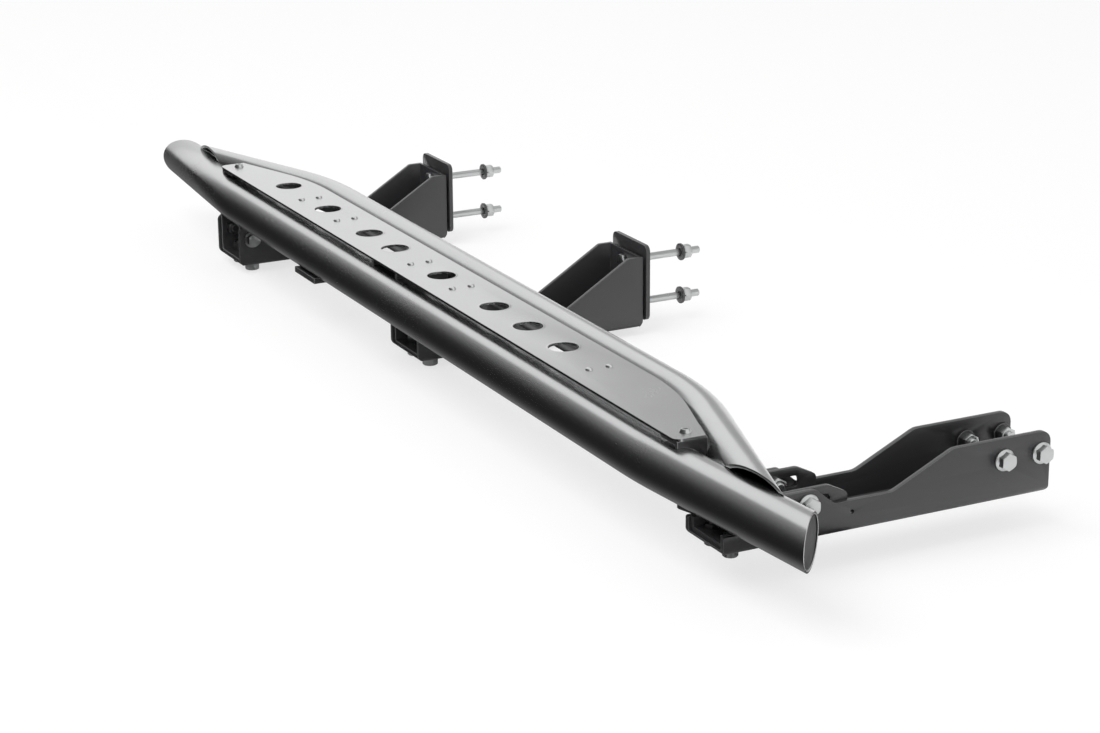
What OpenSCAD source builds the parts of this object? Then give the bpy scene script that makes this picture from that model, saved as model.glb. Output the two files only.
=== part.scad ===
// Side step bar: two bent tubes with a tread plate between them, carried by three arms

/* [Tubes] */
// Outer diameter of the front tube
front_tube_d = 60.3; // [50:0.1:66]
// Outer diameter of the rear tube
rear_tube_d = 48.3; // [42:0.1:54]
// Wall of both tubes
tube_wall = 3; // [2:0.1:4]
// Distance of the front tube's axis from the line of the tread holes
front_tube_y = 41.6; // [38:0.1:46]
// Distance of the rear tube's axis from the line of the tread holes
rear_tube_y = 68; // [62:0.1:76]
// Distance of the front tube's bend inside the end of the tread plate
front_bend_in = 65; // [40:1:110]
// Angle of the front tube's bend
front_bend_angle = 4.7; // [3:0.1:7]
// Centreline radius of the front tube's bend
front_bend_radius = 700; // [300:10:900]
// Length of the front tube past the end of the tread plate
front_end_out = 229; // [190:1:270]
// Angle of the mitred ends of the front tube
mitre_angle = 47; // [30:1:50]
// Distance of the rear tube's bend inside the end of the tread plate
rear_bend_in = 143; // [120:1:170]
// Angle of the rear tube's bend
rear_bend_angle = 18.3; // [15:0.1:22]
// Centreline radius of the rear tube's bend
rear_bend_radius = 400; // [200:10:450]

/* [Tread plate] */
// Length of the tread plate
tread_length = 1382; // [1340:1:1400]
// Thickness of the tread plate
tread_t = 3; // [2:0.5:4]
// Distance of the tread plate's front edge from the line of holes
tread_front = 45; // [42:0.5:50]
// Gap between the tread plate and the rear tube
tread_rear_gap = 2.8; // [1:0.1:5]
// Slit between the tread plate and the front tube
tread_slit = 8.3; // [6:0.1:12]
// Diameter of the tread plate's drain holes
drain_d = 37; // [28:0.5:42]
// Height of the pressed rims and bumps
press_h = 1.2; // [0.6:0.1:2]
// Diameter of the pressed grip bumps
bump_d = 9; // [6:0.5:12]
// Size of the tread screws
tread_screw_d = 8; // [6:1:10]

/* [Left and middle arms] */
// Width over the walls of an arm
arm_w = 90; // [84:1:98]
// Length of an arm from its open end to its web
arm_length = 336.9; // [310:0.1:350]
// Sheet thickness of the arms
arm_t = 5; // [4:0.5:6]
// Depth of an arm's underside below the tread
arm_bottom = 130; // [124:1:134]
// Depth of the low part of an arm's walls below the tread
arm_low = 94; // [90:1:98]
// Depth of the high part of an arm's walls below the tread
arm_high = 30; // [26:1:34]
// Slope of an arm's walls
arm_slope = 31.5; // [28:0.5:36]
// Distance of the left arm inside the end of the tread plate
left_arm_in = 59.5; // [50:0.5:80]
// Distance of the middle arm from the middle of the tread
middle_arm_x = 90.5; // [70:0.5:110]
// Distance of the left arm's open end from the line of holes
left_arm_start = 58; // [54:0.5:60]
// Distance of the middle arm's open end from the line of holes
middle_arm_start = 15; // [12:0.5:16]

/* [Chassis fixings] */
// Size of the long chassis bolts
chassis_bolt_d = 10; // [8:1:12]
// Length of the long chassis bolts past the arm's web
chassis_bolt_reach = 112.7; // [104:0.1:120]
// Height between the two chassis bolts of an arm
chassis_bolt_pitch = 62.3; // [56:0.1:66]
// Depth of the upper chassis bolt below the tread
chassis_bolt_top = 45; // [43:0.5:48]
// Distance from the web to the washers
clamped_t = 82.7; // [76:0.1:90]
// Thickness of a backing plate
backing_t = 5.5; // [4:0.5:8]
// Gap between an arm's web and its backing plate
backing_gap = 3.5; // [1:0.5:5]

/* [Right arm] */
// Distance of the right arm past the end of the tread plate
right_arm_out = 63; // [56:1:70]
// Width over the plates of the right arm
right_arm_w = 80; // [76:1:84]
// Thickness of the right arm's plates
right_arm_t = 6; // [5:0.5:8]
// Distance of the right arm's open end from the line of holes
right_arm_start = 45; // [42:1:48]
// Distance of the right arm's chassis end from the line of holes
right_arm_end = 374; // [366:1:386]
// Depth of the right arm's underside below the tread
right_arm_bottom = 98.4; // [94:0.1:102]
// Distance between the right arm's two chassis bolts
right_bolt_pitch = 50; // [40:1:56]
// Size of the right arm's bolts
right_bolt_d = 12; // [10:1:14]
// Length of the adjusting slots in the right hanger
slot_length = 38; // [30:1:44]

/* [Hangers and joints] */
// Sheet thickness of the hangers
hanger_t = 4; // [3:0.5:5]
// Clearance between sheet pieces
fit = 0.3; // [0.2:0.05:0.5]
// Clearance between a hanger's saddle and a tube
saddle_fit = 0.2; // [0.1:0.05:0.4]
// Size of the bolts that join the arms to the hangers
joint_bolt_d = 12; // [10:1:14]

/* [Hidden] */
$fn = 48;
STEEL = "#b9bbbd";
BLACK = "#2b2b2d";
ZINC = "#cfcfcc";

// Far past every surface, for cutters
far = 400;
// Overlap of a cutter past the face that it cuts
past = 1;

// Tube axes
front_r = front_tube_d / 2;
rear_r = rear_tube_d / 2;
front_z = -(tread_t + tread_slit + front_r);
rear_z = -rear_r;
tread_end_x = tread_length / 2;
front_bend_x = tread_end_x - front_bend_in;
rear_bend_x = tread_end_x - rear_bend_in;
front_end_x = tread_end_x + front_end_out;
front_straight = front_bend_x - front_bend_radius * tan(front_bend_angle / 2);
rear_straight = rear_bend_x - rear_bend_radius * tan(rear_bend_angle / 2);
front_tail = front_end_x - front_bend_x + front_tube_d;
rear_tail = front_end_x - rear_bend_x;
tube_sides = 40;
bend_step = 1.6;
// Nearest that the rear tube's ends come to the front tube's axis, seen from above
rear_lap = 3;
function front_y_at(x) = -front_tube_y + tan(front_bend_angle) * max(0, abs(x) - front_bend_x);
function rear_y_at(x) = rear_tube_y - tan(rear_bend_angle) * max(0, abs(x) - rear_bend_x);
// The rear tube's axis meets the side of the front tube here
rear_end_x = (rear_tube_y + rear_bend_x * tan(rear_bend_angle) + front_tube_y
  + front_bend_x * tan(front_bend_angle) - (front_r + saddle_fit) / cos(front_bend_angle))
  / (tan(rear_bend_angle) + tan(front_bend_angle));
// Distance of the front tube's side from its axis, seen from above, at a height
function front_side(z) =
  max(rear_lap, sqrt(max(0, pow(front_r + saddle_fit, 2) - pow(z - front_z, 2))));

// Tread plate
drain_x = [-528, -380.5, -234, -148, -0.5, 155.5, 249, 343];
bump_x = [-445.5, -316.5, -68, 60.5, 433];
bump_y = 13.2;
drain_rim = 2.6;
drain_lip = 1;
tread_corner = 10;
tread_screw_in = 19;
tread_screw_x = tread_end_x - tread_screw_in;
tread_screw_y = -22;
tab_w = 38;
tab_t = 5;
tab_depth = 30;
tab_in = 1;
tab_front_in = 3;
screw_head_d = 1.75 * tread_screw_d;
screw_head_h = 0.5 * tread_screw_d;
tread_nut_af = 1.6 * tread_screw_d;

// Arms
left_arm_x = tread_end_x - left_arm_in;
right_arm_x = tread_end_x + right_arm_out;
wall_bend = 7;
arm_corner = 10;
open_top = 70;
open_top_length = 62;
open_slope_length = 32;
side_bolt_in = 20;
side_bolt_z = -89;
clamp_in = 26;
clamp_from_wall = 11.7;
bolt_play = 1;
slope_run = (arm_low - arm_high) / tan(arm_slope);
high_run = 22;
hanger_w = arm_w - 2 * arm_t - 2 * fit;
clamp_off = hanger_w / 2 - hanger_t - clamp_from_wall;
hanger_set_in = 3;
hanger_jog_z = 76;

// Chassis end of the left and middle arms
backing_lip = 3.5;
backing_w = arm_w + 2 * backing_lip;
backing_top = -15;
backing_bottom = -121;
backing_corner = 9;
washer_d = 2.4 * chassis_bolt_d;
washer_t = 2.5;
spring_d = 1.8 * chassis_bolt_d;
spring_t = 2.9;
nut_h = chassis_bolt_d;
nut_af = 1.7 * chassis_bolt_d;

// Shares of a bolt's diameter
flange_nut_af = 1.5;
flange_nut_h = 0.9;
flange_d = 2.1;
thin_nut_h = 0.5;

// Right arm
right_high = 25.5;
right_low = 62;
right_inner_w = right_arm_w - 2 * right_arm_t;
right_bolt_y = right_arm_end - 12;
right_bolt_z = -50.4;
right_slope_start = 166;
right_slope_end = 244;
right_hole_d = 5.5;
right_hole_y = 114.4;
right_hole_z = -75.3;
hump_top = 42;
hump_start = 14;
hump_end = 68;
hump_run = 24;
hump_set_in = 2;
ear_end = 112;
ear_top_end = 88;
ear_drop = 12;
ear_t = hanger_t + 1;
slot_bolt_y = 58.7;
slot_bolt_z = -58;
flange_t = 5;
flange_z = front_z - front_r - fit;
flange_x = right_arm_x - 67;
flange_lip = 4;
flange_front = right_arm_start + 2;
flange_sweep = 16;
right_clamp_y = -24;
right_hanger_w = right_inner_w - 2 * fit;
right_clamp_from_wall = 9.7;
right_clamp_off = right_hanger_w / 2 - ear_t - right_clamp_from_wall;
right_clamp_d = 10;

// A point of an arc that rounds a corner of an outline
function corner(p, c, n, r) =
  let (
    u = (p - c) / norm(p - c),
    v = (n - c) / norm(n - c),
    half = acos(u * v) / 2,
    reach = r / tan(half),
    mid = c + (u + v) / norm(u + v) * r / sin(half),
    a = c + u * reach - mid,
    b = c + v * reach - mid,
    steps = max(2, ceil((180 - 2 * half) / 15)),
    turn = a.x * b.y - a.y * b.x > 0 ? 180 - 2 * half : 2 * half - 180
  )
  [for (i = [0:steps])
    let (t = turn * i / steps)
    mid + [a.x * cos(t) - a.y * sin(t), a.x * sin(t) + a.y * cos(t)]];

// An outline given as [x, y, radius] with its corners rounded
function rounded(points) =
  let (n = len(points))
  [for (i = [0:n - 1])
    let (
      p = points[(i + n - 1) % n],
      c = points[i],
      q = points[(i + 1) % n]
    )
    each c[2] == 0
      ? [[c.x, c.y]]
      : corner([p.x, p.y], [c.x, c.y], [q.x, q.y], c[2])];

// A side outline given in Y and Z, made w wide across X
module side_slab(w) {
  translate([-w / 2, 0, 0])
    rotate([90, 0, 90])
      linear_extrude(w)
        children();
}

// A round rod that follows a tube's bends, with its middle at the origin
module bent_rod(r, straight, bend_r, angle, side, tail) {
  base = side > 0 ? -90 : 90;
  translate([-straight, 0, 0])
    rotate([0, 90, 0])
      cylinder(h = 2 * straight, r = r);
  for (s = [-1, 1]) {
    translate([s * straight, side * bend_r, 0])
      rotate([0, 0, base - (s * side < 0 ? angle : 0)])
        rotate_extrude(angle = angle)
          translate([bend_r, 0])
            circle(r);
    translate([s * (straight + bend_r * sin(angle)), side * bend_r * (1 - cos(angle)), 0])
      rotate([0, 0, s > 0 ? side * angle : 180 - side * angle])
        rotate([0, 90, 0])
          cylinder(h = tail, r = r);
  }
}

module front_rod(r) {
  translate([0, -front_tube_y, front_z])
    bent_rod(r, front_straight, front_bend_radius, front_bend_angle, 1, front_tail);
}

module rear_rod(r) {
  translate([0, rear_tube_y, rear_z])
    bent_rod(r, rear_straight, rear_bend_radius, rear_bend_angle, -1, rear_tail);
}

// Stations of a tube's right half, each [x, y, heading]
function half_path(y, straight, bend_r, angle, side, end_x, end_y) =
  let (steps = ceil(angle / bend_step))
  concat(
    [for (i = [0:steps])
      let (t = angle * i / steps)
      [straight + bend_r * sin(t), y + side * bend_r * (1 - cos(t)), side * t]],
    [[end_x, end_y, side * angle]]
  );

// The points of a round section at a station, each moved along the tube by the trim
function section_points(s, z, r, trim) =
  [for (i = [0:tube_sides - 1])
    let (
      t = 360 * i / tube_sides,
      across = r * cos(t),
      height = z + r * sin(t),
      along = trim(across, height)
    )
    [
      s.x - across * sin(s[2]) + along * cos(s[2]),
      s.y + across * cos(s[2]) + along * sin(s[2]),
      height
    ]];

// The sections of a whole tube from left to right, with its two end sections trimmed
function tube_sections(path, z, r, trim) =
  let (
    last = len(path) - 1,
    square_cut = function (across, height) 0,
    half = [for (i = [0:last])
      section_points(path[i], z, r, i == last ? trim : square_cut)]
  )
  concat(
    [for (i = [last:-1:0])
      [for (p = half[i]) [-p.x, p.y, p.z]]],
    half
  );

// A tube along a path, as one closed skin
module tube_along(path, z, r, wall, trim) {
  n = tube_sides;
  outer = tube_sections(path, z, r, trim);
  bore = tube_sections(path, z, r - wall, trim);
  last = len(outer) - 1;
  inner = n * (last + 1);
  points = [for (section = concat(outer, bore)) each section];
  skins = [for (i = [0:last - 1], k = [0:n - 1])
    let (
      a = i * n + k,
      b = i * n + (k + 1) % n
    )
    each [
      [a, a + n, b + n],
      [a, b + n, b],
      [inner + a, inner + b + n, inner + a + n],
      [inner + a, inner + b, inner + b + n]
    ]];
  ends = [for (k = [0:n - 1])
    let (
      a = k,
      b = (k + 1) % n,
      c = last * n + a,
      d = last * n + b
    )
    each [
      [a, b, inner + b],
      [a, inner + b, inner + a],
      [c, inner + d, d],
      [c, inner + c, inner + d]
    ]];
  polyhedron(points, concat(skins, ends), convexity = 6);
}

// A slab parallel to the front tube's right end, from one distance past it to another
module mitre_slab(from, to) {
  translate([front_end_x, front_y_at(front_end_x), front_z])
    rotate([0, 0, mitre_angle])
      translate([from, -far / 2, -far / 2])
        cube([to - from, far, far]);
}

// The room of the two tubes, for saddles
module tube_room(clear) {
  front_rod(front_r + clear);
  rear_rod(rear_r + clear);
}

// Fasteners stand on z = 0 with their shank towards +Z
module hex_head(af, h) {
  r = af / 2 / cos(30);
  intersection() {
    cylinder(h = h, r = r, $fn = 6);
    cylinder(h = h, r1 = af / 2 + h / tan(30), r2 = af / 2);
  }
}

module shank(d, length) {
  tip = d / 10;
  cylinder(h = length - tip, d = d);
  translate([0, 0, length - tip])
    cylinder(h = tip, d1 = d, d2 = d - 2 * tip);
}

module hex_bolt(d, length, af, head_h) {
  shank(d, length);
  mirror([0, 0, 1])
    hex_head(af, head_h);
}

module flange_bolt(d, length) {
  rim = 0.15 * d;
  shank(d, length);
  mirror([0, 0, 1]) {
    cylinder(h = rim, d = flange_d * d);
    translate([0, 0, rim])
      cylinder(h = rim, d1 = flange_d * d, d2 = flange_nut_af * d);
    hex_head(flange_nut_af * d, flange_nut_h * d);
  }
}

module hex_nut(d, h, af) {
  difference() {
    hex_head(af, h);
    translate([0, 0, -past])
      cylinder(h = h + 2 * past, d = d + 0.1);
  }
}

module washer(d, outer, h) {
  difference() {
    cylinder(h = h, d = outer);
    translate([0, 0, -past])
      cylinder(h = h + 2 * past, d = d + 0.5);
  }
}

module spring_washer(d, outer, h) {
  slit = h / 2;
  difference() {
    washer(d, outer, h);
    rotate([20, 0, 0])
      translate([0, -slit / 2, -h])
        cube([outer, slit, 3 * h]);
  }
}

// Pieces of the step itself
module front_tube() {
  half = half_path(-front_tube_y, front_straight, front_bend_radius, front_bend_angle, 1,
    front_end_x, front_y_at(front_end_x));
  mitre = function (across, height) -across * tan(mitre_angle - front_bend_angle);
  color(STEEL)
    tube_along(half, front_z, front_r, tube_wall, mitre);
}

// The rear tube's ends are coped to lie on the front tube
module rear_tube() {
  half = half_path(rear_tube_y, rear_straight, rear_bend_radius, rear_bend_angle, -1,
    rear_end_x, rear_y_at(rear_end_x));
  meet = rear_bend_angle + front_bend_angle;
  cope = function (across, height)
    (front_r + saddle_fit + across * cos(meet) - front_side(height)) / sin(meet);
  color(STEEL)
    tube_along(half, rear_z, rear_r, tube_wall, cope);
}

// The plan of the rear tube's room, wide on the far side
module rear_room_2d(w) {
  deep = far;
  translate([-rear_straight, rear_tube_y - w])
    square([2 * rear_straight, deep]);
  for (m = [0, 1])
    mirror([m, 0, 0])
      translate([rear_straight, rear_tube_y - rear_bend_radius])
        difference() {
          rotate(-rear_bend_angle)
            translate([-far, 0])
              square([2 * far, rear_bend_radius + deep]);
          circle(rear_bend_radius - w, $fn = 360);
          translate([-far, -far])
            square([far, 4 * far]);
          rotate(-rear_bend_angle)
            translate([0, -past])
              square([2 * far, rear_bend_radius - w + past]);
        }
}

module tread_outline() {
  difference() {
    polygon(rounded([
      [-tread_end_x, -tread_front, tread_corner],
      [tread_end_x, -tread_front, tread_corner],
      [tread_end_x, rear_tube_y, 0],
      [-tread_end_x, rear_tube_y, 0]
    ]));
    rear_room_2d(rear_r + tread_rear_gap);
  }
}

module bump() {
  r = (pow(bump_d / 2, 2) + pow(press_h, 2)) / (2 * press_h);
  intersection() {
    translate([0, 0, press_h - r])
      sphere(r, $fn = 64);
    cylinder(h = press_h + past, d = bump_d);
  }
}

module tread_plate() {
  color(STEEL)
    difference() {
      union() {
        translate([0, 0, -tread_t])
          linear_extrude(tread_t)
            tread_outline();
        for (x = drain_x)
          translate([x, 0, 0])
            cylinder(h = press_h, r1 = drain_d / 2 + drain_rim, r2 = drain_d / 2 + drain_lip);
        for (x = bump_x, s = [-1, 1])
          translate([x, s * bump_y, 0])
            bump();
      }
      for (x = drain_x)
        translate([x, 0, -tread_t - past])
          cylinder(h = tread_t + press_h + 2 * past, d = drain_d);
      for (s = [-1, 1])
        translate([s * tread_screw_x, tread_screw_y, -tread_t - past])
          cylinder(h = tread_t + 2 * past, d = tread_screw_d + bolt_play);
    }
}

// The tab under the right end of the tread; the left one is its mirror
module tread_tab() {
  end_x = tread_end_x - tab_in;
  front = -tread_front + tab_front_in;
  back = rear_y_at(tread_screw_x);
  difference() {
    union() {
      translate([end_x - tab_w, front, -tread_t - tab_t])
        cube([tab_w, back - front, tab_t]);
      translate([end_x - tab_t, front, -tread_t - tab_depth])
        cube([tab_t, back - front, tab_depth]);
    }
    front_rod(front_r + saddle_fit);
    translate([0, 0, -far / 2])
      linear_extrude(far)
        rear_room_2d(rear_r + saddle_fit);
    translate([tread_screw_x, tread_screw_y, -far / 2])
      cylinder(h = far, d = tread_screw_d + bolt_play);
  }
}

module left_tread_tab() {
  color(BLACK)
    mirror([1, 0, 0])
      tread_tab();
}

module right_tread_tab() {
  color(BLACK)
    tread_tab();
}

module tread_screws() {
  length = tread_t + tab_t + thin_nut_h * tread_screw_d;
  color(ZINC)
    for (s = [-1, 1])
      translate([s * tread_screw_x, tread_screw_y, 0])
        difference() {
          union() {
            mirror([0, 0, 1])
              shank(tread_screw_d, length);
            cylinder(h = screw_head_h, d1 = screw_head_d, d2 = 0.7 * screw_head_d);
          }
          translate([0, 0, screw_head_h - 0.3 * tread_screw_d])
            cylinder(h = screw_head_h, d = 0.7 * tread_screw_d, $fn = 6);
        }
}

module tread_nuts() {
  color(ZINC)
    for (s = [-1, 1])
      translate([s * tread_screw_x, tread_screw_y, -tread_t - tab_t])
        mirror([0, 0, 1])
          hex_nut(tread_screw_d, thin_nut_h * tread_screw_d, tread_nut_af);
}

// The plug in the right end of the front tube; the left one is its mirror
module end_cap() {
  inset = 1.5;
  face = 4;
  skirt = 20;
  skirt_wall = 2.5;
  cap_r = front_r - tube_wall - saddle_fit;
  difference() {
    intersection() {
      front_rod(cap_r);
      mitre_slab(-inset - skirt, -inset);
    }
    intersection() {
      front_rod(cap_r - skirt_wall);
      mitre_slab(-inset - skirt - past, -inset - face);
    }
  }
}

module left_end_cap() {
  color(BLACK)
    mirror([1, 0, 0])
      end_cap();
}

module right_end_cap() {
  color(BLACK)
    end_cap();
}

module underside_tab() {
  tab_x = -316;
  length = 71;
  width = 26;
  thick = 4;
  lean = 10;
  color(BLACK)
    difference() {
      translate([tab_x - length / 2, -front_tube_y - lean - width / 2, front_z - front_r - thick])
        cube([length, width, 2 * thick]);
      front_rod(front_r + saddle_fit);
    }
}

// Left and middle arms: start is the open end's place on Y
module arm_side(start) {
  end = start + arm_length;
  slope_top = end - high_run;
  polygon(rounded([
    [start, -arm_bottom, arm_corner],
    [end, -arm_bottom, arm_corner],
    [end, -arm_high, 2],
    [slope_top, -arm_high, 6],
    [slope_top - slope_run, -arm_low, 12],
    [start + open_top_length + open_slope_length, -arm_low, 12],
    [start + open_top_length, -open_top, 10],
    [start, -open_top, 8]
  ]));
}

// The section across a folded channel of outer width w, standing on z = 0
module channel_2d(w, t, bend, h) {
  difference() {
    polygon(rounded([[-w / 2, 0, bend], [w / 2, 0, bend], [w / 2, h, 0], [-w / 2, h, 0]]));
    polygon(rounded([
      [-w / 2 + t, t, bend - t],
      [w / 2 - t, t, bend - t],
      [w / 2 - t, h + past, 0],
      [-w / 2 + t, h + past, 0]
    ]));
  }
}

module channel(w, t, bend, h, length) {
  rotate([90, 0, 180])
    linear_extrude(length)
      channel_2d(w, t, bend, h);
}

module arm(x, start) {
  end = start + arm_length;
  difference() {
    intersection() {
      translate([x, 0, 0])
        side_slab(arm_w)
          arm_side(start);
      union() {
        translate([x, start, -arm_bottom])
          channel(arm_w, arm_t, wall_bend, arm_bottom, arm_length);
        translate([x - arm_w / 2 + fit, end - arm_t, -arm_bottom])
          cube([arm_w - 2 * fit, arm_t, arm_bottom]);
      }
    }
    tube_room(saddle_fit);
    side_bolt_holes(x, start);
    clamp_holes(x, start + clamp_in, clamp_off, -arm_bottom, joint_bolt_d);
    chassis_holes(x, end);
  }
}

module side_bolt_holes(x, start) {
  translate([x - far / 2, start + side_bolt_in, side_bolt_z])
    rotate([0, 90, 0])
      cylinder(h = far, d = joint_bolt_d + bolt_play);
}

module clamp_holes(x, y, off, z, d) {
  for (s = [-1, 1])
    translate([x + s * off, y, z - past])
      cylinder(h = 30, d = d + bolt_play);
}

module chassis_holes(x, end) {
  for (z = chassis_bolt_zs())
    translate([x, end + far / 2, z])
      rotate([90, 0, 0])
        cylinder(h = far, d = chassis_bolt_d + bolt_play);
}

function chassis_bolt_zs() = [-chassis_bolt_top, -chassis_bolt_top - chassis_bolt_pitch];

// A hanger's walls reach up to top between the tubes
module hanger(x, start, top) {
  front = start + hanger_set_in;
  back = rear_y_at(x) + 0.8 * rear_r;
  floor_z = -arm_bottom + arm_t;
  tube_front = min(front, -front_tube_y - 2);
  difference() {
    intersection() {
      translate([x, 0, 0])
        side_slab(hanger_w)
          polygon([
            [front, floor_z],
            [back, floor_z],
            [back, rear_z],
            [rear_y_at(x), top],
            [-front_tube_y, top],
            [tube_front, front_z],
            [tube_front, -hanger_jog_z],
            [front, -hanger_jog_z]
          ]);
      translate([x, tube_front, floor_z])
        channel(hanger_w, hanger_t, hanger_t + 2, -floor_z, back - tube_front);
    }
    tube_room(saddle_fit);
    rear_cover(x);
    side_bolt_holes(x, start);
    clamp_holes(x, start + clamp_in, clamp_off, floor_z, joint_bolt_d);
  }
}

// The room above the rear tube, which a hanger doesn't wrap over
module rear_cover(x) {
  translate([x - arm_w, rear_y_at(x) - rear_r - 12, rear_z])
    cube([2 * arm_w, far, far]);
}

module left_arm() {
  color(BLACK)
    arm(-left_arm_x, -left_arm_start);
}

module middle_arm() {
  color(BLACK)
    arm(-middle_arm_x, -middle_arm_start);
}

module left_hanger() {
  color(BLACK)
    hanger(-left_arm_x, -left_arm_start, -tread_t - tab_depth - 3);
}

module middle_hanger() {
  color(BLACK)
    hanger(-middle_arm_x, -middle_arm_start, -tread_t);
}

module backing_plate(x, end) {
  difference() {
    translate([x, end + backing_gap + backing_t, 0])
      rotate([90, 0, 0])
        linear_extrude(backing_t)
          polygon(rounded([
            [-backing_w / 2, backing_bottom, backing_corner],
            [backing_w / 2, backing_bottom, backing_corner],
            [backing_w / 2, backing_top, backing_corner],
            [-backing_w / 2, backing_top, backing_corner]
          ]));
    chassis_holes(x, end);
  }
}

module left_backing_plate() {
  color(BLACK)
    backing_plate(-left_arm_x, -left_arm_start + arm_length);
}

module middle_backing_plate() {
  color(BLACK)
    backing_plate(-middle_arm_x, -middle_arm_start + arm_length);
}

// Places its children at both chassis bolts of an arm, along +Y from y
module at_chassis_bolts(x, y) {
  for (z = chassis_bolt_zs())
    translate([x, y, z])
      rotate([-90, 0, 0])
        children();
}

module chassis_bolts(x, start) {
  end = start + arm_length;
  color(ZINC)
    at_chassis_bolts(x, end - arm_t)
      hex_bolt(chassis_bolt_d, arm_t + chassis_bolt_reach, nut_af, 0.64 * chassis_bolt_d);
}

module chassis_washers(x, start) {
  color(BLACK)
    at_chassis_bolts(x, start + arm_length + clamped_t)
      washer(chassis_bolt_d, washer_d, washer_t);
}

module spring_washers(x, start) {
  color(ZINC)
    at_chassis_bolts(x, start + arm_length + clamped_t + washer_t)
      spring_washer(chassis_bolt_d, spring_d, spring_t);
}

module chassis_nuts(x, start) {
  color(ZINC)
    at_chassis_bolts(x, start + arm_length + clamped_t + washer_t + spring_t)
      hex_nut(chassis_bolt_d, nut_h, nut_af);
}

// Bolts through an arm's wall and its hanger, one from each side
module side_bolts(x, start) {
  stack = arm_t + fit + hanger_t;
  color(ZINC)
    for (s = [-1, 1])
      translate([x + s * arm_w / 2, start + side_bolt_in, side_bolt_z])
        rotate([0, -s * 90, 0])
          flange_bolt(joint_bolt_d, stack + 1.1 * joint_bolt_d);
}

module side_nuts(x, start) {
  stack = arm_t + fit + hanger_t;
  color(ZINC)
    for (s = [-1, 1])
      translate([x + s * (arm_w / 2 - stack), start + side_bolt_in, side_bolt_z])
        rotate([0, -s * 90, 0])
          hex_nut(joint_bolt_d, flange_nut_h * joint_bolt_d, flange_nut_af * joint_bolt_d);
}

// Bolts up through an arm's floor and its hanger's floor
module clamp_bolts(x, y, off, z, stack, d, nut_share) {
  color(ZINC)
    for (s = [-1, 1])
      translate([x + s * off, y, z])
        flange_bolt(d, stack + nut_share * d + 1);
}

module clamp_nuts(x, y, off, z, stack, d, nut_share) {
  color(ZINC)
    for (s = [-1, 1])
      translate([x + s * off, y, z + stack])
        rotate([0, 0, 30])
          hex_nut(d, nut_share * d, flange_nut_af * d);
}

// Right arm
module right_arm_side() {
  polygon(rounded([
    [-right_arm_start, -right_arm_bottom, 7],
    [right_arm_end, -right_arm_bottom, 7],
    [right_arm_end, -right_high, 13],
    [right_slope_end, -right_high, 20],
    [right_slope_start, -right_low, 20],
    [hump_end + hump_run, -right_low, 8],
    [hump_end, -hump_top, 9],
    [hump_start, -hump_top, 9],
    [hump_start - hump_set_in, flange_z - flange_t, 0],
    [-right_arm_start, flange_z - flange_t, 2]
  ]));
}

module right_side_holes() {
  for (i = [0, 1])
    translate([right_arm_x - far / 2, right_bolt_y - i * right_bolt_pitch, right_bolt_z])
      rotate([0, 90, 0])
        cylinder(h = far, d = right_bolt_d + bolt_play);
  translate([right_arm_x - far / 2, right_hole_y, right_hole_z])
    rotate([0, 90, 0])
      cylinder(h = far, d = right_hole_d);
  translate([right_arm_x - far / 2, slot_bolt_y, slot_bolt_z])
    rotate([0, 90, 0])
      cylinder(h = far, d = right_bolt_d + bolt_play);
}

module right_arm() {
  color(BLACK)
    difference() {
      intersection() {
        translate([right_arm_x, 0, 0])
          side_slab(right_arm_w)
            right_arm_side();
        translate([right_arm_x, -right_arm_start, -right_arm_bottom])
          channel(right_arm_w, right_arm_t, wall_bend + 1, right_arm_bottom,
            right_arm_start + right_arm_end);
      }
      tube_room(fit);
      right_side_holes();
      clamp_holes(right_arm_x, right_clamp_y, right_clamp_off, -right_arm_bottom, right_clamp_d);
    }
}

module slot_room() {
  h = right_bolt_d + bolt_play;
  translate([right_arm_x, 0, 0])
    side_slab(far) {
      translate([slot_bolt_y, slot_bolt_z])
        circle(d = h);
      translate([slot_bolt_y + slot_length - h, slot_bolt_z])
        circle(d = h);
      translate([slot_bolt_y, slot_bolt_z - h / 2])
        square([slot_length - h, h]);
    }
}

module right_hanger() {
  w = right_hanger_w;
  floor_z = -right_arm_bottom + right_arm_t;
  front = -right_arm_start + hanger_set_in;
  color(BLACK)
    difference() {
      intersection() {
        translate([right_arm_x, 0, 0])
          side_slab(w)
            polygon(rounded([
              [front, floor_z, 0],
              [ear_end, floor_z, 5],
              [ear_end, -hump_top - ear_drop, 7],
              [ear_top_end, -hump_top, 14],
              [hump_start, -hump_top, 6],
              [hump_start, flange_z - flange_t, 0],
              [front, flange_z - flange_t, 0]
            ]));
        translate([right_arm_x, front, floor_z])
          channel(w, ear_t, ear_t + 2, -floor_z, ear_end - front);
      }
      tube_room(fit);
      slot_room();
      clamp_holes(right_arm_x, right_clamp_y, right_clamp_off, floor_z, right_clamp_d);
    }
}

module right_flange_plate() {
  back = hump_start - hump_set_in - fit;
  right_x = right_arm_x + right_arm_w / 2 + flange_lip;
  swept = -flange_front + (right_x - flange_x) * tan(flange_sweep);
  color(BLACK)
    translate([0, 0, flange_z - flange_t])
      linear_extrude(flange_t)
        polygon(rounded([
          [flange_x, -flange_front, 9],
          [right_x, swept, 9],
          [right_x, back, 4],
          [flange_x, back, 9]
        ]));
}

// Places its children on both walls of the right arm, pointing inwards from a distance off
// the arm's middle
module on_right_walls(off, y, z) {
  for (s = [-1, 1])
    translate([right_arm_x + s * off, y, z])
      rotate([0, -s * 90, 0])
        children();
}

module right_chassis_bolts() {
  color(ZINC)
    for (i = [0, 1])
      on_right_walls(right_arm_w / 2, right_bolt_y - i * right_bolt_pitch, right_bolt_z)
        flange_bolt(right_bolt_d, right_arm_t + washer_t + 1.2 * right_bolt_d);
}

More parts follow.
